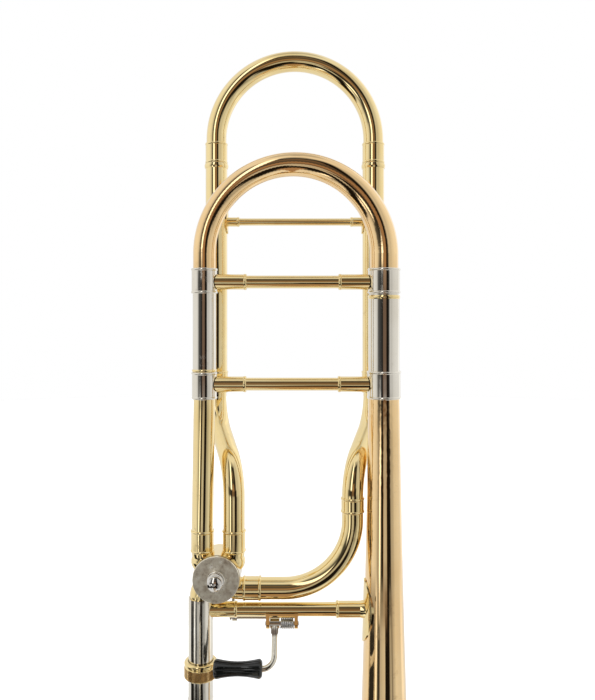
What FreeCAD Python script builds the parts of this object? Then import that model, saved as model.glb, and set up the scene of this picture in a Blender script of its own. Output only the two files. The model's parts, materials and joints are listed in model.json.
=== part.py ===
"""Tenor trombone with an F attachment, as separate solids, one STEP file each.

Frame: millimetres, +Z up and away from the bell's mouth, +X from the slide towards the bell,
+Y from the player's mouthpiece tube towards the bell plane. The origin is the middle of the
mouthpiece receiver's mouth. The instrument hangs with its bell and slide pointing down.
"""
import FreeCAD, Part
import math
import os

from FreeCAD import Vector

os.makedirs("parts", exist_ok=True)

# ---- driving dimensions -------------------------------------------------------------------
SLIDE_WIDTH = 88.0          # upper slide tube to lower slide tube, which is also the bell plane's Y
BELL_X = 126.5              # bell axis
TUNING_SPACING = 124.0      # leg to leg of the main tuning slide
F_SPACING = 118.0           # leg to leg of the F tuning slide
F_DEPTH = 45.0              # the F loop's plane lies this far behind the bell plane
F_LEG_X = 5.8               # left leg of the F loop
TUBE_OUTER = 7.43           # 0.547 inch bore tubing, 0.5 mm wall
TUBE_BORE = 6.95
SOLDER = 0.03               # film between two soldered tubes
RUNNING = 0.08              # radial clearance of telescoping legs, hinge pins and the rotor
PAST = 1.0                  # how far a cutter runs past the face it opens

# main tuning slide
CROOK_Z = 282.0             # centre of the large crook
CROOK_SMALL, CROOK_GROWTH = 7.75, (0.25, 1.9)
UPPER_FERRULES = (254.8, 272.1)
SMALL_FERRULE = (182.2, 200.7)
BELL_FERRULE = (182.5, 201.5)
SMALL_OUTER_LEG = (202.7, 254.6, 8.0)
SMALL_INNER_LEG_TOP = 250.0
SMALL_INNER_LEG = 7.35
LARGE_OUTER_LEG = (192.2, 251.0, 10.7)
LARGE_INNER_LEG = (203.5, 263.3, 10.2)
UPPER_BRACE_Z, LOWER_BRACE_Z = 262.8, 192.3
BRACE_RADIUS, SOCKET_RADIUS, SOCKET_LENGTH = 4.45, 5.3, 20.0

# bell: radius = BELL_THROAT * (BELL_SCALE / distance)^0.75, the Bessel-horn law
BELL_THROAT, BELL_SCALE, BELL_POWER = 15.5, 334.1, 0.75
BELL_RIM_Z, BELL_RIM_RADIUS = -335.0, 108.0
BELL_WALL = 0.5
BELL_TAIL_Z = 192.0
BELL_SEAM_Z = -100.0        # the spun flare meets the drawn stem
RIM_BEAD, RIM_WIRE = 1.7, 1.1

# rotary valve, axis along Y
VALVE_X, VALVE_Z = 12.1, 62.5
PORT_OFFSET = 10.9
CASING_RADIUS, CHAMBER_RADIUS = 16.0, 13.6
CASING_FRONT, CASING_BACK = -13.0, 11.0     # from the bell plane
KNUCKLE_BEND = 9.0
KNUCKLE_RADIUS, KNUCKLE_DROP = 7.8, 2.9     # swelling at the foot of each upper port
STOP_ARM_REACH, STOP_ARM_ANGLE = 10.0, 55.0
STOP_ARM_PLANE = (15.0, 18.0)
BUMPER_REACH, BUMPER_RADIUS, BUMPER_SWING = 9.0, 2.0, 28.0

# thumb lever, hinge axis along X
BELL_BRACE_Z, BELL_BRACE_RADIUS = 37.0, 4.75
COLLAR_RADIUS, FLANGE_RADIUS = 5.3, 5.6     # the sockets that hold its two ends
LEVER_Z = 27.2
BRACKET, BRACKET_WALL, EAR = (45.2, 67.1), 1.1, 2.4
EAR_RADIUS = 3.5
LEVER_HUB = (47.9, 54.4, 3.35)
LEVER_PIN = 1.5
LEVER_ROD = 2.0
GRIP_Y, GRIP_Z = -16.0, 3.6
GRIP = (10.6, 43.4)
GRIP_END, GRIP_WAIST, GRIP_ROUND = 6.25, 4.7, 2.6
REAR_ARM_Y, REAR_ARM_Z, REAR_ARM_ROD = 26.0, 20.6, 1.3
LINK_X = 21.3
LINK_EYE, LINK_ROD = 2.8, 1.25

# F tubing
F_ARC = 47.0
F_RISER_X = 104.8
F_CROOK_Z = 371.7
F_CROOK_TUBE = 7.45
F_LEG_OUTER = 8.1
F_LEGS = (182.0, 350.0)
F_BRACE_Z = 310.0
F_BRACE_RADIUS, F_SOCKET_RADIUS = 2.7, 3.45
S_BEND, S_CORNERS = 34.0, (132.0, 164.0)

# hand slide
RECEIVER_RADIUS = 8.4
INNER_TUBE = 7.25
OUTER_TUBE = 7.7
BARREL = (-105.0, -12.2)
BARREL_OUTER, BARREL_BORE = 8.5, 8.1
INNER_TUBES = (-700.0, -9.0)
RECEIVER_SPIGOT = (-36.0, -50.0)        # the mouthpiece receiver's end, inside the upper inner tube
OUTER_TUBES = (-720.0, -32.0)
BOW_Z = -721.0
INNER_BRACE_Z, OUTER_BRACE_Z = -44.0, -123.0
SLEEVE_LENGTH = 130.0
KEY_SEAT, KEY_HINGE = 297.0, 322.0      # angles round the bow
KEY_HEIGHT, KEY_PIN = 11.6, 0.9

ORIGIN = Vector(0, 0, 0)
X, Y, Z = Vector(1, 0, 0), Vector(0, 1, 0), Vector(0, 0, 1)
BELL_Y = SLIDE_WIDTH
SMALL_X = BELL_X - TUNING_SPACING
F_Y = BELL_Y + F_DEPTH


# ---- building blocks ----------------------------------------------------------------------
def unit(vector):
    return Vector(vector).normalize()


def joined(pieces, merge_faces=True):
    """One solid from pieces that touch or overlap."""
    whole = pieces[0].multiFuse(pieces[1:])
    return (whole.removeSplitter() if merge_faces else whole).Solids[0]


def rod(start, end, radius):
    run = end - start
    return Part.makeCylinder(radius, run.Length, start, run)


def tube(start, end, outer, inner):
    overshoot = unit(end - start) * PAST
    return rod(start, end, outer).cut(rod(start - overshoot, end + overshoot, inner))


def upright(x, y, low, high, outer, inner=0):
    """Vertical tube or rod."""
    ends = Vector(x, y, low), Vector(x, y, high)
    return tube(*ends, outer, inner) if inner else rod(*ends, outer)


def turned(outline, base=ORIGIN, axis=Z):
    """Solid of revolution; each step is (radius, height), or (mid r, mid h, r, h) for an arc."""
    edges = []
    last = Vector(outline[0][0], 0, outline[0][1])
    for step in outline[1:] + outline[:1]:
        end = Vector(step[-2], 0, step[-1])
        if len(step) == 4:
            edges.append(Part.Arc(last, Vector(step[0], 0, step[1]), end).toShape())
        else:
            edges.append(Part.LineSegment(last, end).toShape())
        last = end
    solid = Part.Face(Part.Wire(edges)).revolve(ORIGIN, Z, 360)
    solid.Placement = FreeCAD.Placement(base, FreeCAD.Rotation(Z, axis))
    return solid


def swept_arc(centre, start, axis, degrees, radius):
    """Round bar along an arc: its section at start, turned about axis through centre."""
    section = Part.makeCircle(radius, start, axis.cross(start - centre))
    return Part.Face(Part.Wire(section)).revolve(centre, axis, degrees)


def bend_tube(centre, start, axis, degrees, outer, inner):
    return swept_arc(centre, start, axis, degrees, outer).cut(
        swept_arc(centre, start, axis, degrees, inner)
    )


def pipe(route, bends, outer, inner=0):
    """Tube along straight runs; bends holds the arc radius at each inner point of the route."""

    def solid(radius):
        pieces, here = [], route[0]
        for before, corner, after, bend in zip(route, route[1:], route[2:], bends):
            arriving, leaving = unit(corner - before), unit(after - corner)
            turn = arriving.getAngle(leaving)
            axis = unit(arriving.cross(leaving))
            start = corner - arriving * (bend * math.tan(turn / 2))
            centre = start + axis.cross(arriving) * bend
            pieces.append(rod(here, start, radius))
            pieces.append(swept_arc(centre, start, axis, math.degrees(turn), radius))
            here = corner + leaving * (bend * math.tan(turn / 2))
        pieces.append(rod(here, route[-1], radius))
        return joined(pieces)

    return solid(outer).cut(solid(inner)) if inner else solid(outer)


def dome(radius, foot, top):
    """Outline step for a spherical cap from (radius, foot) to the axis at top."""
    rise = top - foot
    sphere = (radius ** 2 + rise ** 2) / (2 * rise)
    half = math.asin(min(1.0, radius / abs(sphere))) / 2
    return (abs(sphere) * math.sin(half), top - sphere * (1 - math.cos(half)), 0, top)


def ferrule(base, axis, length, outer, bores, bead=0.4, bead_width=1.7):
    """Joining sleeve with a half-round bead at each end; bores are (lower, upper) radii."""
    low, high = bores
    middle = length / 2
    outline = [(low, 0), (outer, 0), (outer + bead, bead_width / 2, outer, bead_width)]
    outline.append((outer, length - bead_width))
    outline.append((outer + bead, length - bead_width / 2, outer, length))
    outline.append((high, length))
    if low != high:
        outline += [(high, middle), (low, middle)]
    return turned(outline, base, axis)


def upright_ferrule(x, y, span, outer, bores, **shape):
    return ferrule(Vector(x, y, span[0]), Z, span[1] - span[0], outer, bores, **shape)


def ring(x, y, span, outer, bore):
    """Plain band with rounded edges."""
    low, high = span
    middle = (low + high) / 2
    edge = outer - 0.35
    return turned([(bore, low), (edge, low), (outer, middle, edge, high), (bore, high)],
                  Vector(x, y, 0))


def socket(base, axis, length, outer, bore, seat, bead=0.35):
    """Brace socket: seat is the depth that its saddled root starts at, the bead is at its mouth."""
    outline = [(bore, seat), (outer, seat), (outer, length - 2.0)]
    outline += [(outer + bead, length - 1.1, outer, length - 0.2), (outer - 0.2, length), (bore, length)]
    return turned(outline, base, axis)


def group(*solids):
    return Part.makeCompound([solid for shape in solids for solid in shape.Solids])


NODES = {}


def node(name, shape):
    NODES[name] = shape


# ---- bell ---------------------------------------------------------------------------------
def bell_radius(z):
    mouth = BELL_SCALE * (BELL_THROAT / BELL_RIM_RADIUS) ** (1 / BELL_POWER)
    return BELL_THROAT * (BELL_SCALE / (z - BELL_RIM_Z + mouth)) ** BELL_POWER


def bell_slope(z):
    step = 0.01
    return (bell_radius(z + step) - bell_radius(z - step)) / (2 * step)


def bell_stations(low, high, count=15):
    """Heights that crowd towards the flare, where the curve is tight."""
    span = high - low
    reach = 25.0
    ratio = (span + reach) / reach
    return [low + reach * (ratio ** (i / (count - 1)) - 1) for i in range(count)]


def bell_curve(heights, inset):
    """The horn's wall line, moved inwards along its own normal by inset."""
    points = []
    for z in heights:
        slope = bell_slope(z)
        stretch = math.hypot(1, slope)
        points.append(Vector(bell_radius(z) - inset / stretch, 0, z + inset * slope / stretch))
    return points


def bell_shell(low, high, outset, wall):
    """Skin of the horn between two heights, its outside outset beyond the horn's own."""
    heights = bell_stations(low, high)
    curves = []
    for inset in (-outset, wall - outset):
        points = bell_curve(heights, inset)
        spline = Part.BSplineCurve()
        spline.interpolate(points)
        curves.append((points, spline.toShape()))
    (outer, outer_edge), (inner, inner_edge) = curves
    caps = [Part.LineSegment(outer[end], inner[end]).toShape() for end in (0, -1)]
    wire = Part.Wire(Part.__sortEdges__([outer_edge, caps[1], inner_edge, caps[0]]))
    shell = Part.Face(wire).revolve(ORIGIN, Z, 360)
    shell.translate(Vector(BELL_X, BELL_Y, 0))
    return shell


def bell():
    """Two-piece bell: a drawn stem, butted and brazed to a spun flare with a wired rim."""
    node("bell_stem", bell_shell(BELL_SEAM_Z, BELL_TAIL_Z, 0, BELL_WALL))
    bead_radius = BELL_RIM_RADIUS - RIM_BEAD
    sheet_end = BELL_RIM_Z + 0.15
    centre = Vector(BELL_X, BELL_Y, BELL_RIM_Z + RIM_BEAD)
    curl = Part.makeTorus(bead_radius, RIM_BEAD, centre, Z)
    hollow = Part.makeTorus(bead_radius, RIM_WIRE + SOLDER, centre, Z)
    horn = joined([bell_shell(sheet_end, BELL_SEAM_Z, 0, BELL_WALL), curl]).cut(hollow)
    node("bell_flare", horn.Solids[0])
    node("bell_rim_wire", Part.makeTorus(bead_radius, RIM_WIRE, centre, Z))


# ---- main tuning slide --------------------------------------------------------------------
def crook_radius(share):
    return CROOK_SMALL + CROOK_GROWTH[0] * share + CROOK_GROWTH[1] * share ** 2


def tuning_crook():
    """Large crook of growing bore: a swept half ring with a straight end in each ferrule."""
    radius = TUNING_SPACING / 2
    centre = Vector(SMALL_X + radius, BELL_Y, CROOK_Z)
    foot = sum(UPPER_FERRULES) / 2 + 0.1
    ends = centre - X * radius, centre + X * radius

    def solid(wall):
        spine = Part.Wire(Part.Arc(ends[0], centre + Z * radius, ends[1]).toShape())
        sections = []
        for step in range(5):
            share = step / 4
            angle = math.pi * (1 - share)
            arm = X * math.cos(angle) + Z * math.sin(angle)
            circle = Part.makeCircle(crook_radius(share) - wall, centre + arm * radius, arm.cross(Y))
            sections.append(Part.Wire(circle))
        swept = spine.makePipeShell(sections, True, False)
        legs = [rod(Vector(end.x, end.y, foot), end, crook_radius(share) - wall)
                for share, end in enumerate(ends)]
        return joined([Part.Solid(swept), *legs])

    node("tuning_crook", solid(0).cut(solid(0.5)))


def tuning_slide():
    tuning_crook()
    wide = crook_radius(1)
    low, high, outer = SMALL_OUTER_LEG
    middle = sum(UPPER_FERRULES) / 2
    narrow_bores = outer + SOLDER, CROOK_SMALL + SOLDER
    wide_bores = LARGE_INNER_LEG[2] + SOLDER, wide + SOLDER
    node("crook_ferrules", group(
        upright_ferrule(SMALL_X, BELL_Y, UPPER_FERRULES, 8.75, narrow_bores),
        upright_ferrule(BELL_X, BELL_Y, UPPER_FERRULES, 10.95, wide_bores)))
    node("small_outer_leg", upright(SMALL_X, BELL_Y, low, middle - 0.1, outer, SMALL_INNER_LEG + RUNNING))
    node("small_leg_ring", ring(SMALL_X, BELL_Y, (low - 1.9, low), 8.55, SMALL_INNER_LEG + 0.3))
    low, high, outer = LARGE_INNER_LEG
    node("large_inner_leg", upright(BELL_X, BELL_Y, low, high, outer, outer - 0.45))
    sockets = tuning_brace("upper_tuning_brace", UPPER_BRACE_Z, (8.75, 10.95))
    node("upper_brace_sockets", group(*sockets))


def tuning_brace(name, z, grips):
    """Cross tube between two ferrules of radii grips; returns the sockets that hold its ends."""
    left, right = Vector(SMALL_X, BELL_Y, z), Vector(BELL_X, BELL_Y, z)
    seats = [grip + 0.6 for grip in grips]
    ends = left + X * (seats[0] + 1.5), right - X * (seats[1] + 1.5)
    node(name, tube(*ends, BRACE_RADIUS, BRACE_RADIUS - 0.8))
    bore = BRACE_RADIUS + SOLDER
    sockets = [
        socket(left, X, seats[0] + SOCKET_LENGTH, SOCKET_RADIUS, bore, 0),
        socket(right, X * -1, seats[1] + SOCKET_LENGTH, SOCKET_RADIUS, bore, 0),
    ]
    saddles = [upright(point.x, BELL_Y, z - 15, z + 15, grip + 0.45)
               for point, grip in zip((left, right), grips)]
    return [one.cut(saddle).Solids[0] for one, saddle in zip(sockets, saddles)]


def fixed_tuning_legs():
    low, high, outer = LARGE_OUTER_LEG
    node("large_outer_leg", upright(BELL_X, BELL_Y, low, high, outer, LARGE_INNER_LEG[2] + RUNNING))
    node("large_leg_ring", ring(BELL_X, BELL_Y, (high, high + 2.6), 11.1, LARGE_INNER_LEG[2] + 0.3))
    bores = bell_radius(BELL_FERRULE[0]) + SOLDER, outer + SOLDER
    node("bell_ferrule", upright_ferrule(BELL_X, BELL_Y, BELL_FERRULE, 11.4, bores))
    middle = sum(SMALL_FERRULE) / 2
    node("small_inner_leg", upright(SMALL_X, BELL_Y, middle + 0.1, SMALL_INNER_LEG_TOP,
                                    SMALL_INNER_LEG, TUBE_BORE))
    bores = TUBE_OUTER + SOLDER, SMALL_INNER_LEG + SOLDER
    node("small_leg_ferrule", upright_ferrule(SMALL_X, BELL_Y, SMALL_FERRULE, 8.5, bores))
    port_x = VALVE_X - PORT_OFFSET
    route = [Vector(SMALL_X, BELL_Y, middle - 0.1), Vector(SMALL_X, BELL_Y, 179.0),
             Vector(port_x, BELL_Y, 95.0), Vector(port_x, BELL_Y, 84.8)]
    node("neck_tube", pipe(route, [200.0, 200.0], TUBE_OUTER, TUBE_BORE))


# ---- rotary valve -------------------------------------------------------------------------
def valve_point(x, z, y=0.0):
    """Point given from the valve's axis in the bell plane."""
    return Vector(VALVE_X + x, BELL_Y + y, VALVE_Z + z)


def valve_disc(front, back, radius, bore=0.0):
    ends = valve_point(0, 0, front), valve_point(0, 0, back)
    return tube(*ends, radius, bore) if bore else rod(*ends, radius)


PORTS = {                   # end of each port's stub, and the corner where it turns to the axis
    "neck": ((-PORT_OFFSET, 22.2), (-PORT_OFFSET, PORT_OFFSET)),
    "f_up": ((PORT_OFFSET, 22.2), (PORT_OFFSET, PORT_OFFSET)),
    "f_across": ((23.3, -PORT_OFFSET), (PORT_OFFSET, -PORT_OFFSET)),
    "slide": ((-VALVE_X, -26.6), (-VALVE_X, -VALVE_X)),
}


def port_stub(port, radius, past=0.0):
    outer_end, corner = (valve_point(*place) for place in PORTS[port])
    outer_end = outer_end + unit(outer_end - corner) * past
    return pipe([outer_end, corner, valve_point(0, 0)], [KNUCKLE_BEND], radius)


def valve():
    body = valve_disc(CASING_FRONT, CASING_BACK, CASING_RADIUS)
    knuckles = [Part.makeSphere(KNUCKLE_RADIUS, valve_point(side * PORT_OFFSET, PORT_OFFSET - KNUCKLE_DROP))
                for side in (-1, 1)]
    casing = joined([body] + [port_stub(port, TUBE_OUTER) for port in PORTS] + knuckles)
    for port in PORTS:
        casing = casing.cut(port_stub(port, TUBE_BORE, PAST))
    journal = 4.0
    casing = casing.cut(valve_disc(CASING_FRONT + 2.2, CASING_BACK + PAST, CHAMBER_RADIUS))
    casing = casing.cut(valve_disc(CASING_FRONT - PAST, CASING_BACK, journal + RUNNING))
    node("valve_casing", casing.Solids[0])

    cap = [(0, -0.35), (15.8, -0.35), (15.8, -1.9), (15.6, -2.3, 15.2, -2.4), (6.0, -2.5)]
    cap += [(5.8, -2.9, 5.4, -3.1), (5.4, -6.2), (5.0, -6.6), (5.0, -7.6), (4.65, -7.9)]
    cap += [(4.65, -10.6), dome(4.65, -10.6, -12.2)]
    node("valve_cap", turned(cap, valve_point(0, 0, CASING_FRONT), Y))

    front, back = CASING_FRONT + 2.5, CASING_BACK - 2.5
    rotor = joined([
        valve_disc(front, back, CHAMBER_RADIUS - RUNNING),
        valve_disc(CASING_FRONT + 0.2, front, journal),
        valve_disc(back, STOP_ARM_PLANE[0] - 0.3, journal),
        valve_disc(STOP_ARM_PLANE[0] - 0.3, STOP_ARM_PLANE[1] - 0.2, 2.5),
    ])
    for side in (-1, 1):
        ends = [valve_point(side * PORT_OFFSET, z) for z in (-20, 20)]
        rotor = rotor.cut(rod(*ends, TUBE_BORE - 0.05))
    node("rotor", rotor.Solids[0])

    bearing = [(journal + RUNNING, 0), (CHAMBER_RADIUS - SOLDER, 0), (CHAMBER_RADIUS - SOLDER, 2.2)]
    bearing += [(7.0, 2.2), (6.6, 3.8), (journal + RUNNING, 3.8)]
    node("bearing_plate", turned(bearing, valve_point(0, 0, CASING_BACK - 2.2), Y))
    stop_parts()
    port_ferrules()


def polar(reach, degrees, y=0.0):
    angle = math.radians(degrees)
    return valve_point(reach * math.cos(angle), reach * math.sin(angle), y)


def stop_parts():
    """Stop plate with its two bumpers on the casing's back, and the arm on the rotor's stem."""
    plate_back = CASING_BACK + 2.4
    plate = valve_disc(CASING_BACK + 0.03, plate_back, 13.0, 7.4)
    clear = Part.makeBox(40, 10, 40, valve_point(3.5, -20, CASING_BACK - 1))
    node("stop_plate", plate.cut(clear).Solids[0])

    rest_lug = STOP_ARM_ANGLE + 180
    places = rest_lug + BUMPER_SWING, rest_lug - 90 - BUMPER_SWING
    posts = [rod(polar(BUMPER_REACH, at, plate_back + 0.02), polar(BUMPER_REACH, at, STOP_ARM_PLANE[1]),
                 BUMPER_RADIUS) for at in places]
    node("rotor_bumpers", group(*posts))

    low, high = STOP_ARM_PLANE
    hub = valve_disc(low, high, 5.0)
    bar = Part.makeBox(STOP_ARM_REACH + 9.5, high - low, 4.0, Vector(-9.5, low, -2.0))
    bar.rotate(ORIGIN, Y, -STOP_ARM_ANGLE)
    bar.translate(valve_point(0, 0))
    ends = [polar(STOP_ARM_REACH, STOP_ARM_ANGLE, y) for y in (low, high)]
    end = rod(*ends, 2.7)
    arm = joined([hub, bar, end]).cut(valve_disc(low - PAST, high + PAST, 2.5 + SOLDER))
    node("stop_arm", arm.Solids[0])

    head = turned([(0, 0), (3.6, 0), (3.6, 0.9), dome(3.6, 0.9, 2.0)], valve_point(0, 0, high + 0.03), Y)
    slot = Part.makeBox(8, 1.0, 0.7, valve_point(-4, -0.35, high + 1.3))
    node("stop_arm_screw", head.cut(slot).Solids[0])


def port_ferrules():
    bores = (TUBE_OUTER + SOLDER, TUBE_OUTER + SOLDER)
    casing = valve_disc(CASING_FRONT, CASING_BACK, CASING_RADIUS + SOLDER)
    upper = [upright_ferrule(VALVE_X + side * PORT_OFFSET, BELL_Y, (77.0, 92.0), 7.85, bores).cut(casing)
             for side in (-1, 1)]
    across = ferrule(Vector(29.3, BELL_Y, VALVE_Z - PORT_OFFSET), X, 12.4, 7.95, bores)
    node("port_ferrules", group(*upper, across))


# ---- F attachment tubing ------------------------------------------------------------------
def f_tubing():
    z = VALVE_Z - PORT_OFFSET
    route = [Vector(35.5, BELL_Y, z), Vector(F_RISER_X, BELL_Y, z), Vector(F_RISER_X, BELL_Y, 109.1)]
    node("f_lower_tube", pipe(route, [F_ARC], TUBE_OUTER, TUBE_BORE))
    right_x = F_LEG_X + F_SPACING
    node("f_branch_right", s_branch(F_RISER_X, 109.3, right_x))
    node("f_branch_left", s_branch(VALVE_X + PORT_OFFSET, 84.8, F_LEG_X))

    low, high = F_LEGS
    legs_x = F_LEG_X, right_x
    bore = F_LEG_OUTER - 0.45
    node("f_outer_legs", group(*(upright(x, F_Y, low + 8.1, high, F_LEG_OUTER, bore) for x in legs_x)))
    same = (TUBE_OUTER + SOLDER, TUBE_OUTER + SOLDER)
    trim = [upright_ferrule(F_RISER_X, BELL_Y, (104.0, 114.4), 7.85, same)]
    for x in legs_x:
        foot = (TUBE_OUTER + SOLDER, F_LEG_OUTER + SOLDER)
        trim.append(upright_ferrule(x, F_Y, (low, low + 16), 8.6, foot, bead=0.3))
        trim.append(ring(x, F_Y, (high, high + 3.4), 8.95, bore + 0.1))
    node("f_leg_ferrules", group(*trim))

    inner = bore - RUNNING
    node("f_inner_legs", group(*(upright(x, F_Y, 236.0, 361.3, inner, inner - 0.45) for x in legs_x)))
    collar = (inner + SOLDER, F_CROOK_TUBE + SOLDER)
    collars = [upright_ferrule(x, F_Y, (353.8, 369.0), 8.15, collar, bead=0.3) for x in legs_x]
    node("f_crook_ferrules", group(*collars))
    f_crook()


def s_branch(x, start, leg_x):
    """Tube that leaves the valve's plane and rises into the F loop's plane."""
    low, high = S_CORNERS
    route = [Vector(x, BELL_Y, start), Vector(x, BELL_Y, low),
             Vector(leg_x, F_Y, high), Vector(leg_x, F_Y, F_LEGS[0] + 7.9)]
    return pipe(route, [S_BEND, S_BEND], TUBE_OUTER, TUBE_BORE)


def f_crook():
    radius = F_SPACING / 2
    centre = Vector(F_LEG_X + radius, F_Y, F_CROOK_Z)

    bore = F_CROOK_TUBE - 0.5
    half = bend_tube(centre, centre - X * radius, Y, 180, F_CROOK_TUBE, bore)
    feet = [upright(centre.x + side * radius, F_Y, 361.5, F_CROOK_Z, F_CROOK_TUBE, bore)
            for side in (-1, 1)]
    node("f_crook", joined([half, *feet]))


def f_brace():
    """Thin brace between the F legs; returns the two small sockets with oval feet that hold it."""
    left, right = (Vector(x, F_Y, F_BRACE_Z) for x in (F_LEG_X, F_LEG_X + F_SPACING))
    start = F_LEG_OUTER + 2.0
    node("f_leg_brace", rod(left + X * start, right - X * start, F_BRACE_RADIUS))
    sockets = []
    for point, way in ((left, 1), (right, -1)):
        bore = F_BRACE_RADIUS + SOLDER
        barrel = socket(point, X * way, F_LEG_OUTER + 9.3, F_SOCKET_RADIUS, bore, 0, bead=0.25)
        root = rod(point, point + X * way * (F_LEG_OUTER + 1.7), F_SOCKET_RADIUS)
        foot = upright(point.x, F_Y, F_BRACE_Z - 9, F_BRACE_Z + 9, F_LEG_OUTER + 0.9)
        leaf = leaf_prism(18.0, 9.0)
        leaf.rotate(ORIGIN, Z, 0 if way > 0 else 180)
        leaf.translate(point)
        body = joined([barrel, root, foot.common(leaf)], merge_faces=False)
        leg = upright(point.x, F_Y, F_BRACE_Z - 15, F_BRACE_Z + 15, F_LEG_OUTER + SOLDER)
        sockets.append(body.cut(leg).Solids[0])
    return sockets


def leaf_prism(tall, wide):
    """Oval in the YZ plane, drawn out along +X; it trims a flange to its outline."""
    oval = Part.Ellipse(Z * (tall / 2), Y * (wide / 2), ORIGIN)
    return Part.Face(Part.Wire(oval.toShape())).extrude(X * 40)


# ---- bell brace and thumb lever -----------------------------------------------------------
def bell_brace():
    """Cross tube from the slide receiver's collar to the oval flange on the bell."""
    z = BELL_BRACE_Z
    left, right = Vector(0, BELL_Y, z), Vector(BELL_X, BELL_Y, z)
    bell_side = bell_radius(z)
    node("bell_brace", tube(left + X * 10.5, right - X * (bell_side + 3.5), BELL_BRACE_RADIUS,
                            BELL_BRACE_RADIUS - 0.8))
    bore = BELL_BRACE_RADIUS + SOLDER
    collar = socket(left, X, 25.4, COLLAR_RADIUS, bore, 0)
    collar = collar.cut(upright(0, BELL_Y, z - 15, z + 15, RECEIVER_RADIUS + SOLDER)).Solids[0]
    lower = tuning_brace("lower_tuning_brace", LOWER_BRACE_Z, (8.5, 11.4))
    node("brace_sockets", group(collar, *lower, *f_brace()))

    reach = BELL_X - 93.2
    barrel = socket(right, X * -1, reach, FLANGE_RADIUS, bore, bell_side + 2.6)
    root = bell_side + 3.1
    flare = [(0, 0), (7.4, bell_side * 0.8), (6.0, bell_side + 1.3, FLANGE_RADIUS, root), (0, root)]
    flare = turned(flare, right, X * -1)
    leaf = leaf_prism(43.0, 22.0)
    leaf.rotate(ORIGIN, Z, 180)
    leaf.translate(right)
    skin = bell_shell(z - 22, z + 22, 1.0, 1.0 - SOLDER)
    horn = bell_plug(z - 30, z + 30)
    flange = joined([barrel, flare.cut(horn).Solids[0], skin.common(leaf).Solids[0]], merge_faces=False)
    node("bell_brace_flange", flange)


def bell_plug(low, high):
    """Solid horn out to a solder film beyond the bell's skin, used to saddle what sits on it."""
    heights = bell_stations(low, high, 7)
    points = bell_curve(heights, -SOLDER)
    spline = Part.BSplineCurve()
    spline.interpolate(points)
    foot, head = (Vector(0, 0, points[end].z) for end in (0, -1))
    corners = [(foot, points[0]), (points[-1], head), (head, foot)]
    lines = [Part.LineSegment(*pair) for pair in corners]
    wire = Part.Wire(Part.__sortEdges__([spline.toShape()] + [line.toShape() for line in lines]))
    plug = Part.Face(wire).revolve(ORIGIN, Z, 360)
    plug.translate(Vector(BELL_X, BELL_Y, 0))
    return plug


def on_hinge(x, length, radius):
    """Rod along the lever's hinge axis, from x."""
    start = Vector(x, BELL_Y, LEVER_Z)
    return rod(start, start + X * length, radius)


def lever_bracket():
    """Half sleeve under the bell brace, with a tapered ear at each end for the hinge pin."""
    left, right = BRACKET
    outer = BELL_BRACE_RADIUS + BRACKET_WALL
    top = BELL_BRACE_Z - 0.5
    sleeve = rod(Vector(left, BELL_Y, BELL_BRACE_Z), Vector(right, BELL_Y, BELL_BRACE_Z), outer)
    sleeve = sleeve.cut(Part.makeBox(40, 40, 20, Vector(left - 5, BELL_Y - 20, top)))
    ears = []
    for x in (left, right - EAR):
        corners = [(-outer, top), (outer, top), (EAR_RADIUS, LEVER_Z), (-EAR_RADIUS, LEVER_Z)]
        points = [Vector(x, BELL_Y + y, z) for y, z in corners]
        plate = Part.Face(Part.makePolygon(points + points[:1])).extrude(X * EAR)
        ears += [on_hinge(x, EAR, EAR_RADIUS), plate]
    bracket = joined([sleeve] + ears)
    tube_space = rod(Vector(left - 2, BELL_Y, BELL_BRACE_Z), Vector(right + 2, BELL_Y, BELL_BRACE_Z),
                     BELL_BRACE_RADIUS + SOLDER)
    hole = on_hinge(left - PAST, right - left + 2 * PAST, LEVER_PIN + SOLDER)
    node("lever_bracket", bracket.cut(hole).cut(tube_space).Solids[0])
    node("lever_hinge_pin", on_hinge(left - 0.6, right - left + 1.2, LEVER_PIN))


def lever_spring():
    """Torsion spring round the hinge pin, its fixed leg up against the bracket's sleeve."""
    wire, radius, pitch, turns = 0.5, 3.2, 1.25, 7
    start_x = LEVER_HUB[1] + 0.9
    helix = Part.makeHelix(pitch, pitch * turns, radius)
    section = Part.Wire(Part.makeCircle(wire, Vector(radius, 0, 0), Y))
    coil = Part.Solid(Part.Wire(helix.Edges).makePipeShell([section], True, True))
    coil.rotate(ORIGIN, Y, 90)
    coil.translate(Vector(start_x, BELL_Y, LEVER_Z))
    node("lever_spring", coil)


def thumb_lever():
    left, right, radius = LEVER_HUB
    hub = on_hinge(left, right - left, radius)
    middle = Vector((left + right) / 2, BELL_Y, LEVER_Z)
    grip_corner = Vector(middle.x, BELL_Y + GRIP_Y, GRIP_Z)
    grip_end = Vector(GRIP[0] - 0.3, grip_corner.y, GRIP_Z)
    front = pipe([middle, grip_corner, grip_end], [8.0], LEVER_ROD)
    down = unit(grip_corner - middle)
    neck = rod(middle + down * 2.0, middle + down * 6.6, 2.6)
    rear_corner = Vector(middle.x, BELL_Y + REAR_ARM_Y, REAR_ARM_Z)
    rear_end = Vector(LINK_X - 2.6, rear_corner.y, REAR_ARM_Z)
    rear = pipe([middle, rear_corner, rear_end], [7.0], REAR_ARM_ROD)
    head = rod(rear_end - X, rear_end + X * 0.2, 2.2)
    lever = joined([hub, front, neck, rear, head])
    bore = on_hinge(left - PAST, right - left + 2 * PAST, LEVER_PIN + RUNNING)
    node("thumb_lever", lever.cut(bore).Solids[0])


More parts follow.
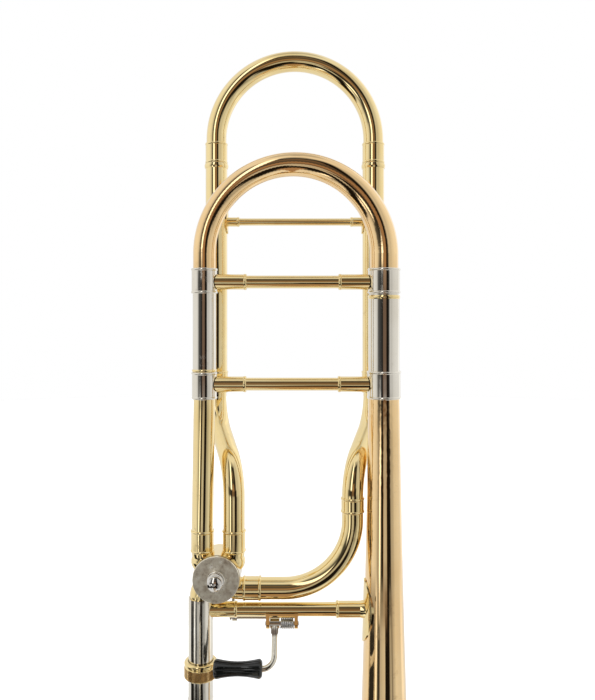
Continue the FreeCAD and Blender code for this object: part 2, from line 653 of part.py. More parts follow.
def thumb_grip():
    """Dog-bone roller with eight lengthwise flutes that follow its waist."""
    left, right = GRIP
    half = (right - left) / 2
    shoulder = half - GRIP_ROUND
    dip = GRIP_END - GRIP_WAIST
    waist = (shoulder ** 2 + dip ** 2) / (2 * dip)
    bore = LEVER_ROD + RUNNING
    face, nip = GRIP_END - GRIP_ROUND, GRIP_ROUND * (1 - math.sqrt(0.5))
    outline = [(bore, -half), (face, -half), (GRIP_END - nip, -half + nip, GRIP_END, -shoulder)]
    outline += [(GRIP_WAIST, 0, GRIP_END, shoulder), (GRIP_END - nip, half - nip, face, half)]
    outline += [(bore, half)]
    centre = Vector((left + right) / 2, BELL_Y + GRIP_Y, GRIP_Z)
    roller = turned(outline)
    for flute in range(8):
        arm = FreeCAD.Rotation(Z, 45.0 * flute + 22.5).multVec(X)
        groove = Part.makeTorus(waist, 1.0, arm * (GRIP_WAIST + waist + 0.1), arm.cross(Z))
        roller = roller.cut(groove)
    roller = roller.Solids[0]
    roller.Placement = FreeCAD.Placement(centre, FreeCAD.Rotation(Z, X))
    node("thumb_grip", roller)


def link():
    """Link from the lever's rear arm up to the rotor's stop arm, with an eye at each end."""
    low = Vector(LINK_X, BELL_Y + REAR_ARM_Y, REAR_ARM_Z)
    high = polar(STOP_ARM_REACH, STOP_ARM_ANGLE, STOP_ARM_PLANE[1] + 2.4)
    way = unit(high - low)
    bar = rod(low + way * 1.8, high - way * 1.8, LINK_ROD)
    lower_eye = rod(low - X * 1.7, low + X * 1.7, LINK_EYE)
    upper_eye = rod(high - Y * 1.8, high + Y * 1.8, LINK_EYE)
    screw = turned([(0, 0), (2.3, 0), (2.3, 0.8), dome(2.3, 0.8, 1.6)], high + Y * 1.8, Y)
    body = joined([bar, lower_eye, upper_eye, screw])
    bore = rod(low - X * 3, low + X * 3, REAR_ARM_ROD + 0.3)
    slot = Part.makeBox(6, 1.0, 0.6, high + Vector(-3, 2.9, -0.3))
    node("link_rod", body.cut(bore).cut(slot).Solids[0])


# ---- slide receiver and lock nut ----------------------------------------------------------
def slide_joint():
    outline = [(TUBE_OUTER + SOLDER, 45.4), (RECEIVER_RADIUS, 45.4), (RECEIVER_RADIUS, -1.1), (9.6, -1.1)]
    outline += [(9.6, -3.1), (7.4, -3.1), (7.4, 33.5), (TUBE_OUTER + SOLDER, 33.5 + 1.5)]
    node("slide_receiver", turned(outline, Vector(0, BELL_Y, 0)))

    nut = [(8.75, 2.2), (9.9, 2.2), (10.9, 1.8, 11.25, 0.6), (11.25, 0.1), (10.9, -0.3), (10.5, -0.5)]
    nut += [(10.5, -1.1), (11.0, -1.5), (11.0, -8.9), (10.5, -9.4), (9.25, -9.4), (9.25, -3.6)]
    nut += [(9.85, -3.6), (9.85, -0.7), (8.75, -0.7)]
    node("slide_lock_nut", turned(nut, Vector(0, BELL_Y, 0)))


# ---- hand slide ---------------------------------------------------------------------------
def hand_slide():
    low, high = BARREL
    foot = [(BARREL_OUTER, high - 0.5)]
    for bead in (-24.0, -53.0):
        foot += [(BARREL_OUTER, bead + 0.8), (BARREL_OUTER + 0.35, bead, BARREL_OUTER, bead - 0.8)]
    foot += [(BARREL_OUTER, low), (BARREL_BORE, low), (BARREL_BORE, -30.0), (INNER_TUBE + SOLDER, -30.0)]
    lower = [(TUBE_BORE, 33.0), (7.33, 33.0), (7.33, -3.4), (9.1, -3.4), (9.1, -9.0)]
    lower += [(BARREL_OUTER, -9.5), *foot, (INNER_TUBE + SOLDER, -8.9), (TUBE_BORE, -8.9)]
    node("lower_cork_barrel", turned(lower, Vector(0, BELL_Y, 0)))
    upper = [(INNER_TUBE + SOLDER, -12.2), (BARREL_OUTER - 0.3, -12.2)] + foot
    node("upper_cork_barrel", turned(upper))

    spigot, shank_end = RECEIVER_SPIGOT
    mouth = [(6.45, 0), (7.9, 0), (8.5, -0.8, 8.5, -2.0), (8.5, -4.6), (7.9, -5.4), (7.9, -12.0)]
    mouth += [(INNER_TUBE, -12.0), (INNER_TUBE, spigot), (TUBE_BORE - SOLDER, spigot)]
    mouth += [(TUBE_BORE - SOLDER, shank_end), (5.75, shank_end), (5.75, -34.0)]
    node("mouthpiece_receiver", turned(mouth))

    start, end = INNER_TUBES
    upper_tube = upright(0, 0, start, spigot - 0.1, INNER_TUBE, TUBE_BORE)
    lower_tube = upright(0, BELL_Y, start, end, INNER_TUBE, TUBE_BORE)
    node("inner_slide_tubes", group(upper_tube, lower_tube))
    top, low_end = shank_end - 0.1, -240.0
    node("leadpipe", turned([(5.75, top), (6.85, top), (6.85, low_end), (6.7, low_end)]))

    node("inner_slide_brace", hand_brace(INNER_BRACE_Z, BARREL_OUTER, 9.1))
    lock = [(BARREL_OUTER + 0.1, low + 1.0), (9.6, low + 1.0), (9.9, low - 2.0, 9.9, low - 5.0)]
    lock += [(9.9, low - 7.0), (8.0, low - 7.0), (8.0, low - 0.6), (BARREL_OUTER + 0.1, low - 0.6)]
    ring_body = turned(lock, Vector(0, BELL_Y, 0))
    tab = Part.makeBox(7.0, 4.0, 5.0, Vector(8.9, BELL_Y - 2.0, low - 6.5))
    bore = upright(0, BELL_Y, low - 8, low - 0.6, 8.0)
    node("slide_lock_ring", joined([ring_body, tab]).cut(bore).Solids[0])
    outer_slide()


def hand_brace(z, tube_radius, sleeve_radius):
    """Cross bar of the slide: a sleeve round each tube, a socket on each sleeve and the bar."""
    ends = Vector(0, 0, z), Vector(0, BELL_Y, z)
    pieces = [rod(ends[0] + Y * 7, ends[1] - Y * 7, 3.6)]
    for point, way in zip(ends, (1, -1)):
        pieces.append(upright(point.x, point.y, z - 7.5, z + 7.5, sleeve_radius))
        root = sleeve_radius + 10
        flare = [(0, 0), (6.4, sleeve_radius * 0.8), (4.8, sleeve_radius + 3.0, 4.6, root), (0, root)]
        pieces.append(turned(flare, point, Y * way))
    body = joined(pieces)
    for point in ends:
        body = body.cut(upright(point.x, point.y, z - 9, z + 9, tube_radius + SOLDER))
    return body.Solids[0]


def outer_slide():
    low, high = OUTER_TUBES
    bore = INNER_TUBE + RUNNING
    pieces = []
    for y in (0, BELL_Y):
        pieces.append(upright(0, y, low, high, OUTER_TUBE, bore))
        pieces.append(upright_ferrule(0, y, (low + 5, low + 5 + SLEEVE_LENGTH), 8.1,
                                      (OUTER_TUBE + SOLDER, OUTER_TUBE + SOLDER), bead=0.3))
    node("outer_slide_tubes", group(*pieces))
    node("outer_slide_brace", hand_brace(OUTER_BRACE_Z, OUTER_TUBE, 8.5))

    slide_bow()


# ---- bow and water key --------------------------------------------------------------------
BOW_RADIUS = SLIDE_WIDTH / 2
BOW_CENTRE = Vector(0, BOW_RADIUS, BOW_Z)


def on_bow(degrees, height):
    """Point at a height outwards from the bow's centreline; 180 is the upper tube, 270 the bottom."""
    angle = math.radians(degrees)
    return BOW_CENTRE + Vector(0, math.cos(angle), math.sin(angle)) * (BOW_RADIUS + height)


def across(point, half, radius):
    """Short rod along X, centred on a point."""
    return rod(point - X * half, point + X * half, radius)


def slide_bow():
    outside, inside = (swept_arc(BOW_CENTRE, Vector(0, 0, BOW_Z), X, 180, radius)
                       for radius in (OUTER_TUBE, OUTER_TUBE - 0.5))
    hinge = on_bow(KEY_HINGE, KEY_HEIGHT)
    nipple = rod(on_bow(KEY_SEAT, 0), on_bow(KEY_SEAT, OUTER_TUBE + 2.2), 3.6)
    stud = rod(on_bow(270, 0), on_bow(270, OUTER_TUBE + 2.0), 5.0)
    posts = []
    for side in (-1, 1):
        post = Part.makeBox(1.6, 5.0, KEY_HEIGHT - OUTER_TUBE + 1.2, Vector(side * 3.6 - 0.8, -2.5, 0))
        place = FreeCAD.Placement(on_bow(KEY_HINGE, OUTER_TUBE - 1.2), FreeCAD.Rotation(X, KEY_HINGE - 90))
        post.Placement = place.multiply(post.Placement)
        posts += [post, across(hinge + X * (side * 3.6), 0.8, 2.5)]
    bow = joined([outside, nipple, stud, *posts]).cut(inside)
    bow = bow.cut(rod(on_bow(KEY_SEAT, 0), on_bow(KEY_SEAT, OUTER_TUBE + 4), 2.0))
    node("slide_bow", bow.cut(across(hinge, 9, KEY_PIN + SOLDER)).Solids[0])

    bumper = [(0, 0), (5.6, 0), (6.2, 1.5, 5.9, 3.0), dome(5.9, 3.0, 6.2)]
    node("bow_bumper", turned(bumper, on_bow(270, OUTER_TUBE + 2.03), Z * -1))

    seat, lift = on_bow(KEY_SEAT, OUTER_TUBE + 2.2), unit(on_bow(KEY_SEAT, 1) - on_bow(KEY_SEAT, 0))
    node("water_key_cork", rod(seat + lift * 0.05, seat + lift * 2.2, 3.5))
    cup = [(0, 2.25), (3.55, 2.25), (3.55, 1.2), (4.3, 1.2), (4.3, 3.6), dome(4.3, 3.6, 5.6)]
    cup = turned(cup, seat, lift)
    finger = on_bow(KEY_HINGE + 22, KEY_HEIGHT + 6.5)
    pad = turned([(0, -1.0), (4.5, -0.6), (5.0, 0, 4.5, 0.6), (0, 1.0)], finger, unit(finger - BOW_CENTRE))
    arms = [rod(hinge, end, 1.5) for end in (seat + lift * 4.2, finger)]
    key = joined([across(hinge, 2.6, 2.5), *arms, cup, pad])
    key = key.cut(rod(seat, seat + lift * 2.23, 3.53))
    node("water_key", key.cut(across(hinge, 9, KEY_PIN + RUNNING)).Solids[0])
    node("water_key_pin", across(hinge, 4.9, KEY_PIN))


# ---- assembly -----------------------------------------------------------------------------
bell()
tuning_slide()
fixed_tuning_legs()
valve()
f_tubing()
bell_brace()
lever_bracket()
lever_spring()
thumb_lever()
thumb_grip()
link()
slide_joint()
hand_slide()

for name, shape in NODES.items():
    shape.exportStep(f"parts/{name}.step")
    print(name, len(shape.Solids), round(shape.Volume, 1), shape.isValid())
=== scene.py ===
"""Looks of the tenor trombone: materials, knurling, light and camera round the fixed CAD frame."""

import json
import math

import bmesh
import bpy
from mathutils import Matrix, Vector


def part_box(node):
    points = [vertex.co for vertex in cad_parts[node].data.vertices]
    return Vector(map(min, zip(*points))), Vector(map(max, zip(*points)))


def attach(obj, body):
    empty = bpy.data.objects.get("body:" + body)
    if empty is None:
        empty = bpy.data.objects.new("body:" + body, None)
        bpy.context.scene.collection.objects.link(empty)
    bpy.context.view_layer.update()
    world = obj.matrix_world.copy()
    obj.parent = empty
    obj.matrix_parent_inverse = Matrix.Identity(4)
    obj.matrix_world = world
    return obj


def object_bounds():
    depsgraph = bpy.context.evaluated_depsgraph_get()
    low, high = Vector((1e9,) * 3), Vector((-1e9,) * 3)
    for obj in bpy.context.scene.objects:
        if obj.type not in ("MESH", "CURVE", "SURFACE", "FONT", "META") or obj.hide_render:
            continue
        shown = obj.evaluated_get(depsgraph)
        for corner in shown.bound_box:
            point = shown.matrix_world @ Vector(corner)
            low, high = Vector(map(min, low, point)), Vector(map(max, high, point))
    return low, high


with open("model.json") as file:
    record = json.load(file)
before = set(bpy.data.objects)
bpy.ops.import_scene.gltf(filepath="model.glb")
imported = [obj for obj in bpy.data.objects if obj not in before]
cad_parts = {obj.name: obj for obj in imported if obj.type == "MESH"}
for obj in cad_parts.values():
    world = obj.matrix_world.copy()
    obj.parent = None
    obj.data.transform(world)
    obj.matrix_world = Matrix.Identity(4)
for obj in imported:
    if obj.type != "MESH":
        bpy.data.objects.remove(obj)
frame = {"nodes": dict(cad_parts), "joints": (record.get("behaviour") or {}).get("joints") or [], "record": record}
cad_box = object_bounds()
NODES = frame["nodes"]

# ---- sizes, in metres ---------------------------------------------------------------------
KNOB_RADIUS = 0.0056                        # the cap's bright knob, inside its dull face
KNOB_EDGE = 0.0003                          # over which the shine ends
SOLDER_SPOT = (0.0509, 0.0848, 0.0225)      # middle of the lever's soldered joint
SOLDER_SCORCH = (0.0026, 0.0040)            # darkest within the first, clean beyond the second
KNURL_RADIUS = 0.01101                      # of the diamonds' feet, just clear of the lock nut's side
KNURL_LOW, KNURL_HIGH = 0.0006, 0.0078      # edges of the knurled band above the nut's foot
KNURL_RISE = 0.00030
KNURL_COLUMNS, KNURL_ROWS = 68, 7
KNURL_CROWN = 0.3                           # width of a diamond's flat top over that of its foot
FLOOR_DROP = 0.001                          # from the lowest point of the run-out slide
FLOOR_RADIUS = 14.0
MIDDLE_X, MIDDLE_Y = 0.0668, 0.088          # the picture's centre line, and the middle of the depth
CAMERA_PLACE = (MIDDLE_X, -0.409, 0.240)
VIEW_HEIGHT = 35 / 36                       # what the picture takes in, top to bottom, one metre away
VIEW_SHIFT = -0.05                          # how far up the view is moved, over the picture's height
SENSOR = 36                                 # mm, along the picture's long side


def middle_of(name):
    low, high = (Vector(corner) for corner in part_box(name))
    return (low + high) / 2


# ---- shader helpers -----------------------------------------------------------------------
class Nodes:
    """A node tree, with short calls for the nodes used here."""

    def __init__(self, tree):
        self.tree = tree
        self.tree.nodes.clear()

    def node(self, kind, inputs=(), **settings):
        made = self.tree.nodes.new(kind)
        for key, value in settings.items():
            setattr(made, key, value)
        for key, value in dict(inputs).items():
            self.put(value, made.inputs[key])
        return made

    def put(self, value, socket):
        """Links a node's output to the socket, or sets the socket to a plain value."""
        if isinstance(value, bpy.types.NodeSocket):
            self.tree.links.new(value, socket)
        else:
            socket.default_value = value

    def maths(self, operation, one, two=None):
        inputs = {0: one} if two is None else {0: one, 1: two}
        return self.node("ShaderNodeMath", inputs, operation=operation).outputs[0]

    def vector(self, operation, one, two=None):
        """A vector, or the number that a length or a distance comes to."""
        inputs = {0: one} if two is None else {0: one, 1: two}
        made = self.node("ShaderNodeVectorMath", inputs, operation=operation)
        return made.outputs["Value" if operation in ("LENGTH", "DISTANCE") else "Vector"]

    def span(self, value, low, high, out_low=0.0, out_high=1.0):
        """Goes from out_low to out_high as value goes from low to high, and no further."""
        return self.node("ShaderNodeMapRange", {"Value": value, "From Min": low, "From Max": high,
                                                "To Min": out_low, "To Max": out_high}).outputs[0]

    def ramp(self, value, stops):
        """Colour by value; a stop is its place, from 0 to 1, and a colour or a grey level."""
        made = self.node("ShaderNodeValToRGB", {"Fac": value})
        points = made.color_ramp.elements
        while len(points) < len(stops):
            points.new(0.5)
        for point, (at, colour) in zip(points, stops):
            tone = colour if isinstance(colour, tuple) else (colour, colour, colour)
            point.position = at
            point.color = (*tone, 1)
        return made.outputs["Color"]

    def mix(self, share, one, two):
        """One where share is 0, two where it is 1."""
        made = self.node("ShaderNodeMix", {"Factor": share}, data_type="RGBA")
        for socket, value in ((made.inputs[6], one), (made.inputs[7], two)):
            self.put((*value, 1) if isinstance(value, tuple) else value, socket)
        return made.outputs[2]


class Shader(Nodes):
    """A material: one principled surface, patterned in the object's own coordinates."""

    def __init__(self, name, **sockets):
        self.material = bpy.data.materials.new(name)
        self.material.use_nodes = True
        super().__init__(self.material.node_tree)
        self.surface = self.node("ShaderNodeBsdfPrincipled")
        self.put(self.surface.outputs[0], self.node("ShaderNodeOutputMaterial").inputs["Surface"])
        for socket, value in sockets.items():
            self.put(value, self.surface.inputs[socket.replace("_", " ")])
        self.place = self.node("ShaderNodeTexCoord").outputs["Object"]

    def stretched(self, factors):
        """The object's coordinates, multiplied along each axis."""
        return self.node("ShaderNodeMapping", {"Vector": self.place, "Scale": factors}).outputs[0]

    def noise(self, scale, detail=3.0, vector=None, rough=0.55, seed=0.0):
        """Clouds, about as many to a metre as scale says."""
        moved = self.vector("ADD", vector or self.place, (seed, seed * 0.7, seed * 1.3))
        return self.node("ShaderNodeTexNoise", {"Vector": moved, "Scale": scale, "Detail": detail,
                                                "Roughness": rough}).outputs["Fac"]

    def spots(self, scale):
        """Distance from the nearest of scattered points, about as many to a metre as scale says."""
        return self.node("ShaderNodeTexVoronoi", {"Vector": self.place, "Scale": scale}).outputs["Distance"]

    def bump(self, height, depth, strength=1.0, below=None):
        """Relief of a depth in metres, on top of the relief below it where there is one."""
        made = self.node("ShaderNodeBump", {"Height": height, "Distance": depth, "Strength": strength})
        if below:
            self.put(below, made.inputs["Normal"])
        return made.outputs[0]

    def finish(self, colour, roughness, normal=None):
        self.put(colour, self.surface.inputs["Base Color"])
        self.put(roughness, self.surface.inputs["Roughness"])
        if normal:
            self.put(normal, self.surface.inputs["Normal"])
        return self.material


# ---- metals -------------------------------------------------------------------------------
# A grain is how closely the hairlines lie along x, y and z: few along a direction draws them out that way.
UPRIGHT = (900, 900, 30)
RINGS = (60, 60, 1500)
EVEN = (400, 400, 400)


def plated(name, light, deep, stain, rough, grain=UPRIGHT, lacquer=0.0, stained=0.3, wave=1.0, scorch=None):
    """Polished metal: two tones that cloud into each other, stains, hairlines, faint waviness.

    rough is the roughness between hairlines and on them, stained the share of the stains that shows,
    and scorch the middle of a joint darkened by soldering, where there is one.
    """
    s = Shader(name, Metallic=1.0, Coat_Weight=lacquer, Coat_Roughness=0.03, Coat_IOR=1.5)
    cloud = s.noise(22, detail=4, seed=1.7)
    fine = s.noise(180, detail=5, seed=4.2)
    tone = s.mix(s.span(cloud, 0.35, 0.68), light, deep)
    stain_areas = s.span(s.noise(55, seed=9.1), 0.5, 0.66)
    patches = s.maths("MULTIPLY", s.span(fine, 0.56, 0.72), stain_areas)
    tone = s.mix(s.maths("MULTIPLY", patches, stained), tone, stain)
    pits = s.span(s.spots(620), 0.02, 0.09, stained, 0.0)
    tone = s.mix(s.maths("MULTIPLY", pits, s.span(cloud, 0.5, 0.6)), tone, stain)
    if scorch:
        darkening = s.span(s.vector("DISTANCE", s.place, scorch), *SOLDER_SCORCH, 0.85, 0.0)
        tone = s.mix(darkening, tone, (0.10, 0.06, 0.04))
    hair = s.noise(1.0, detail=6, vector=s.stretched(grain), rough=0.7, seed=2.3)
    coarse_grain = s.stretched(tuple(v * 0.35 for v in grain))
    scuffs = s.span(s.noise(1.0, detail=4, vector=coarse_grain, rough=0.6, seed=6.6), 0.58, 0.72)
    roughness = s.maths("ADD", s.span(hair, 0.3, 0.7, *rough), s.maths("MULTIPLY", scuffs, rough[1] * 0.5))
    roughness = s.maths("ADD", roughness, s.maths("MULTIPLY", patches, 0.16))
    hairlines = s.bump(hair, depth=0.000012, strength=0.5)
    waviness = s.bump(s.noise(34, detail=2, seed=3.3), depth=0.00018 * wave, below=hairlines)
    return s.finish(tone, roughness, waviness)


def worn_cap(name, axis):
    """The cap's stained face, with its knob left bright; the cap faces along Y and is centred on axis."""
    s = Shader(name, Metallic=1.0)
    blotch = s.noise(260, detail=6, rough=0.62, seed=5.0)
    fine = s.noise(1100, detail=4, seed=1.0)
    stain = s.noise(95, seed=7.0)
    tone = s.ramp(blotch, [(0.28, (0.58, 0.50, 0.38)), (0.42, (0.82, 0.75, 0.60)),
                           (0.58, (0.94, 0.89, 0.74)), (0.74, (0.98, 0.95, 0.85))])
    tone = s.mix(s.span(stain, 0.52, 0.66, 0, 0.45), tone, (0.34, 0.24, 0.16))
    tone = s.mix(s.span(fine, 0.60, 0.70, 0, 0.55), tone, (0.20, 0.14, 0.10))
    offset = s.vector("SUBTRACT", s.place, (axis.x, 0, axis.z))
    from_axis = s.vector("LENGTH", s.vector("MULTIPLY", offset, (1, 0, 1)))
    face = s.span(from_axis, KNOB_RADIUS, KNOB_RADIUS + KNOB_EDGE)
    worn = s.span(s.noise(420, detail=4, seed=3.0), 0.45, 0.75, 0, 0.35)
    bright = s.mix(worn, (0.72, 0.70, 0.66), (0.45, 0.36, 0.27))
    tone = s.mix(face, bright, tone)
    roughness = s.span(face, 0, 1, 0.10, s.span(blotch, 0.3, 0.7, 0.42, 0.26))
    relief = s.maths("MULTIPLY", fine, face)
    return s.finish(tone, roughness, s.bump(relief, depth=0.00005, strength=0.7))


METALS = {
    "rose_brass": dict(light=(0.90, 0.65, 0.335), deep=(0.84, 0.575, 0.275), stain=(0.32, 0.17, 0.06),
                       rough=(0.03, 0.07), lacquer=0.7, wave=0.5),
    "yellow_brass": dict(light=(0.89, 0.72, 0.37), deep=(0.83, 0.635, 0.285), stain=(0.30, 0.17, 0.05),
                         rough=(0.03, 0.08), lacquer=0.7, wave=0.8),
    "nickel_silver": dict(light=(0.78, 0.74, 0.65), deep=(0.71, 0.66, 0.56), stain=(0.28, 0.23, 0.17),
                          rough=(0.03, 0.08), lacquer=0.5),
    "drawn_nickel": dict(light=(0.78, 0.75, 0.68), deep=(0.66, 0.62, 0.54), stain=(0.32, 0.28, 0.22),
                         rough=(0.12, 0.26), stained=0.5),
    "chrome_plate": dict(light=(0.84, 0.85, 0.86), deep=(0.76, 0.77, 0.79), stain=(0.45, 0.45, 0.46),
                         rough=(0.03, 0.07), stained=0.15),
    "rotor_brass": dict(light=(0.80, 0.64, 0.36), deep=(0.70, 0.53, 0.27), stain=(0.28, 0.18, 0.08),
                        rough=(0.16, 0.34), grain=RINGS, stained=0.5),
    "steel": dict(light=(0.66, 0.65, 0.63), deep=(0.54, 0.53, 0.51), stain=(0.24, 0.20, 0.17),
                  rough=(0.16, 0.32), grain=EVEN, stained=0.5),
    "tarnished_nickel": dict(light=(0.84, 0.80, 0.70), deep=(0.70, 0.63, 0.51), stain=(0.22, 0.15, 0.09),
                             rough=(0.07, 0.17), stained=0.9, wave=1.6),
    "soldered_nickel": dict(light=(0.74, 0.70, 0.60), deep=(0.67, 0.62, 0.52), stain=(0.28, 0.23, 0.17),
                            rough=(0.04, 0.11), lacquer=0.1, scorch=SOLDER_SPOT),
    "aged_brass": dict(light=(0.70, 0.50, 0.24), deep=(0.52, 0.35, 0.16), stain=(0.14, 0.08, 0.04),
                       rough=(0.12, 0.24), grain=RINGS, stained=0.9),
}
LOOKS = {name: plated(name, **look) for name, look in METALS.items()}
LOOKS["dull_nickel"] = worn_cap("dull_nickel", middle_of("valve_cap"))


# ---- plastic, rubber and cork -------------------------------------------------------------
def moulded(name, tone, rough, grain, dust, shine=0.35):
    """Dark plastic or rubber, smeared by handling.

    grain is its pebbles to a metre, and dust the share of its pale specks that shows.
    """
    s = Shader(name, Specular_IOR_Level=shine)
    smear = s.noise(70, detail=4, seed=8.0)
    colour = s.mix(s.span(smear, 0.4, 0.7), tone, tuple(v * 1.7 + 0.006 for v in tone))
    colour = s.mix(s.span(s.noise(1500, detail=2), 0.66, 0.74, 0, dust), colour, (0.30, 0.29, 0.28))
    relief = s.bump(s.noise(grain, detail=5, seed=2.0), depth=0.00004, strength=0.5)
    return s.finish(colour, s.span(smear, 0.3, 0.7, *rough), relief)


def corky(name):
    s = Shader(name)
    cell = s.spots(1500)
    shade = s.maths("ADD", cell, s.span(s.noise(500, detail=4), 0.3, 0.7, -0.2, 0.2))
    tone = s.ramp(shade, [(0.15, (0.20, 0.11, 0.05)), (0.4, (0.50, 0.32, 0.17)), (0.8, (0.66, 0.47, 0.28))])
    return s.finish(tone, 0.85, s.bump(cell, depth=0.0002, strength=0.8))


LOOKS["black_plastic"] = moulded("black_plastic", (0.0025, 0.0035, 0.003), (0.03, 0.09), grain=300,
                                 dust=0.05, shine=0.6)
LOOKS["bumper_rubber"] = moulded("bumper_rubber", (0.018, 0.018, 0.018), (0.55, 0.75), grain=1200,
                                 dust=0.25)
LOOKS["cork"] = corky("cork")

for entry in frame["record"]["subparts"]:
    node = NODES[entry["node"]]
    node.data.materials.clear()
    node.data.materials.append(LOOKS[entry["material_slot"]])

NODES["slide_receiver"].data.materials[0] = LOOKS["tarnished_nickel"]
NODES["thumb_lever"].data.materials[0] = LOOKS["soldered_nickel"]


# ---- knurling -----------------------------------------------------------------------------
def knurl(name, centre, radius, low, high, columns, rows, rise):
    """Band of raised diamonds, each a small flat-topped pyramid, round an upright axis."""
    mesh = bpy.data.meshes.new(name)
    grid = bmesh.new()
    half_turn, half_tall = math.pi / columns, (high - low) / rows / 2
    points = [(1, 0), (0, 1), (-1, 0), (0, -1)]

    def corner(turn, up, out):
        return grid.verts.new((centre.x + (radius + out) * math.cos(turn),
                               centre.y + (radius + out) * math.sin(turn), up))

    for row in range(2 * rows - 1):
        up = low + half_tall * (row + 1)
        for column in range(columns):
            turn = half_turn * (2 * column + row % 2)
            foot = [corner(turn + half_turn * a, up + half_tall * b, 0) for a, b in points]
            crown = [corner(turn + half_turn * a * KNURL_CROWN, up + half_tall * b * KNURL_CROWN, rise)
                     for a, b in points]
            grid.faces.new(crown)
            for side in range(4):
                following = (side + 1) % 4
                grid.faces.new((foot[side], foot[following], crown[following], crown[side]))
    grid.to_mesh(mesh)
    grid.free()
    band = bpy.data.objects.new(name, mesh)
    bpy.context.scene.collection.objects.link(band)
    return band


nut_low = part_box("slide_lock_nut")[0].z
nut_band = knurl("slide_lock_nut_knurl", middle_of("slide_lock_nut"), KNURL_RADIUS, nut_low + KNURL_LOW,
                 nut_low + KNURL_HIGH, KNURL_COLUMNS, KNURL_ROWS, KNURL_RISE)
nut_band.data.materials.append(LOOKS["aged_brass"])
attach(nut_band, "lock_nut")

# ---- the tent that the metal mirrors ------------------------------------------------------
BROWN, DUSK, DARK = (0.42, 0.27, 0.17), (0.20, 0.13, 0.09), (0.012, 0.010, 0.008)

# Brightness by heading, in degrees: 0 is towards the camera, 90 to the picture's right, 180 straight away.
AROUND = [(-180, 0.95), (-150, 0.9), (-100, 0.95), (-75, 0.95), (-58, 0.8), (-48, 0.5), (-41, 0.3),
          (-38, 0.5), (-36, 2.0), (-31, 2.0), (-28, 0.5), (-24, 0.12), (-21, DARK), (-13, DARK),
          (-10, BROWN), (10, BROWN), (13, DARK), (33, DARK), (39, 0.5), (46, 0.5), (56, 0.6), (62, 0.75),
          (90, 0.85), (110, 0.85), (125, 1.0), (135, 1.25), (150, 0.95), (170, 0.8), (180, 0.95)]
LEVEL = [(-180, 0.95), (-150, 0.9), (-100, 0.95), (-75, 0.95), (-60, 0.8), (-53, 0.4), (-49, 0.12),
         (-30, 0.05), (-15, 0.02), (-12, DUSK), (8, DUSK), (11, DARK), (27, DARK), (33, 0.3), (38, 0.75),
         (50, 0.65), (62, 0.8), (90, 0.9), (110, 0.9), (125, 1.05), (135, 1.25), (150, 0.95), (170, 0.85),
         (180, 0.95)]
UPPER = [(-180, 0.95), (-150, 0.9), (-100, 1.0), (-75, 1.0), (-58, 0.85), (-48, 0.6), (-42, 0.25),
         (-34, 0.12), (-28, 0.2), (-25, 2.0), (-15, 2.0), (-12, 0.15), (-9, DARK), (22, DARK), (26, 0.25),
         (32, 0.7), (50, 0.65), (62, 0.8), (90, 1.0), (110, 1.0), (125, 1.05), (135, 1.25), (150, 1.0),
         (170, 0.9), (180, 0.95)]
BELOW = [(-180, 0.85), (-110, 0.95), (-97, 0.95), (-94, 0.03), (-62, 0.03), (-58, 0.6), (-54, 1.5),
         (-47, 1.3), (-43, 0.25), (-40, 0.05), (-30, 0.05), (-27, 0.55), (-2, 0.75), (1, DARK), (22, DARK),
         (26, 0.45), (34, 0.5), (37, 0.15), (42, 0.45), (50, 0.65), (60, 0.85), (95, 0.8), (105, 1.2),
         (116, 1.1), (130, 0.9), (180, 0.85)]
UNDER = [(-180, 0.9), (-98, 0.9), (-90, DARK), (28, DARK), (36, 0.6), (44, 0.4), (60, 0.75), (130, 0.9),
         (180, 0.9)]

# Each lower band, with the elevations in degrees between which it gives way to the ones above it.
LOWER_BANDS = [(LEVEL, 3, 6), (AROUND, -9, -5), (BELOW, -21, -17), (UNDER, -28, -25), (AROUND, -46, -40)]

# Brightness by elevation, in degrees: in the strip straight in front, then towards the zenith and the floor.
FRONT = [(-60, 0.95), (-56, 0.30), (-50, 0.30), (-46, 0.85), (-36, 0.85), (-31, 0.10), (-20, 0.12),
         (-16, 0.65), (-8, 0.5), (-5, DUSK), (1, DUSK), (4, BROWN), (14, (0.30, 0.19, 0.12)), (18, 0.06),
         (36, (0.2, 0.14, 0.1)), (42, 0.05), (48, 0.06), (52, 0.45), (58, 0.5), (61, 0.95), (70, 0.95),
         (75, 0.5), (90, 0.6)]
ENDS = [(-90, 0.95), (-60, 0.9), (-50, 0.8), (0, 0.8), (50, 0.85), (60, 0.95), (72, 0.9), (78, 0.6),
        (90, 0.6)]
FRONT_FOOT = (-21, -17)                     # elevations under which the front strip is like the sides
FRONT_EDGE = (8, 12)                        # headings, to either side, at which the front strip fades out
ENDS_EDGE = (48, 60)                        # elevations, up or down, at which the ends take over


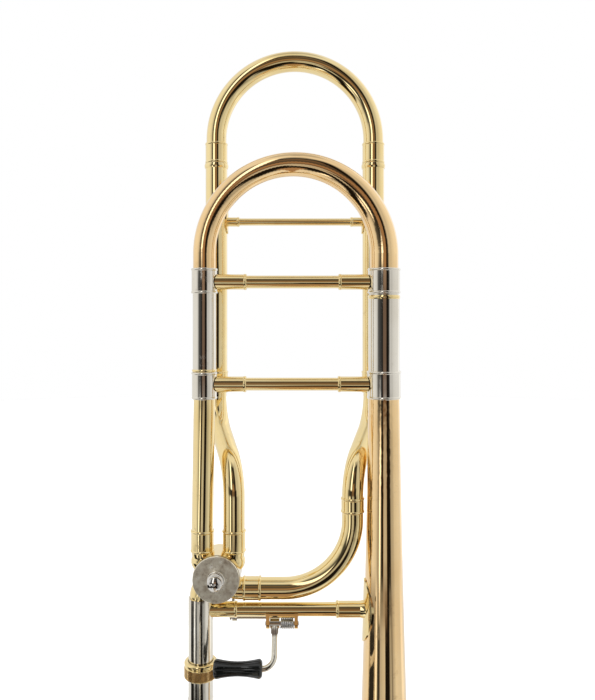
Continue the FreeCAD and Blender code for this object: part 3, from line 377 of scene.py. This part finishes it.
def tent():
    """White to the camera; in the metal, pale cloth with lit strips and a dark gap for the camera."""
    world = bpy.data.worlds.new("tent")
    bpy.context.scene.world = world
    world.use_nodes = True
    w = Nodes(world.node_tree)
    x, y, z = w.node("ShaderNodeSeparateXYZ", {0: w.node("ShaderNodeTexCoord").outputs["Generated"]}).outputs
    heading = w.maths("ARCTAN2", x, w.maths("MULTIPLY", y, -1.0))
    elevation = w.maths("ARCSINE", z)

    def levels(angle, reach, stops):
        """Brightness by angle in degrees, from -reach to reach."""
        share = w.span(angle, -math.radians(reach), math.radians(reach))
        return w.ramp(share, [((at + reach) / (2 * reach), level) for at, level in stops])

    def beyond(angle, low, high, before=0.0, after=1.0):
        """Goes from before to after between two angles in degrees."""
        return w.span(angle, math.radians(low), math.radians(high), before, after)

    sides = levels(heading, 180, UPPER)
    for stops, low, high in LOWER_BANDS:
        sides = w.mix(beyond(elevation, low, high), levels(heading, 180, stops), sides)
    ends = w.mix(beyond(w.maths("ABSOLUTE", elevation), *ENDS_EDGE), sides, levels(elevation, 90, ENDS))
    front = w.mix(beyond(elevation, *FRONT_FOOT), sides, levels(elevation, 90, FRONT))
    in_front = beyond(w.maths("ABSOLUTE", heading), *FRONT_EDGE, 1.0, 0.0)
    mirrored = w.mix(in_front, ends, front)
    seen = w.node("ShaderNodeLightPath").outputs["Is Camera Ray"]
    glow = w.node("ShaderNodeBackground", {"Color": w.mix(seen, mirrored, (1, 1, 1)), "Strength": 1.0})
    w.put(glow.outputs[0], w.node("ShaderNodeOutputWorld").inputs["Surface"])


# ---- floor, light and camera --------------------------------------------------------------
def floor():
    """Pale floor, low enough for the hand slide to run out to its end above it."""
    mesh = bpy.data.meshes.new("floor")
    grid = bmesh.new()
    bmesh.ops.create_circle(grid, cap_ends=True, radius=FLOOR_RADIUS, segments=96)
    grid.to_mesh(mesh)
    grid.free()
    made = bpy.data.objects.new("floor", mesh)
    slide_travel = next(joint["range_m"][1] for joint in frame["joints"] if joint["name"] == "hand_slide")
    made.location = (MIDDLE_X, MIDDLE_Y, cad_box[0].z - slide_travel - FLOOR_DROP)
    bpy.context.scene.collection.objects.link(made)
    s = Shader("pale_floor")
    cloth = s.mix(s.span(s.noise(3), 0.4, 0.6), (0.93, 0.93, 0.93), (0.96, 0.96, 0.96))
    mesh.materials.append(s.finish(cloth, 0.7))
    made.visible_glossy = False


def soft_sun():
    """Broad light from above for the floor and the matt pieces; the metal mirrors the tent only."""
    light = bpy.data.lights.new("overhead", "SUN")
    light.energy = 2.2
    light.angle = math.radians(70)
    made = bpy.data.objects.new("overhead", light)
    made.rotation_euler = (math.radians(-25), math.radians(10), 0)
    made.visible_glossy = False
    bpy.context.scene.collection.objects.link(made)


def view_along_y():
    data = bpy.data.cameras.new("camera")
    data.sensor_width = SENSOR
    data.lens = SENSOR / VIEW_HEIGHT
    data.shift_y = VIEW_SHIFT
    data.clip_start = 0.01
    data.clip_end = 100
    camera = bpy.data.objects.new("camera", data)
    camera.location = CAMERA_PLACE
    camera.rotation_euler = (math.pi / 2, 0, 0)
    bpy.context.scene.collection.objects.link(camera)
    bpy.context.scene.camera = camera
    bpy.context.scene.view_settings.view_transform = "Standard"


tent()
floor()
soft_sun()
view_along_y()
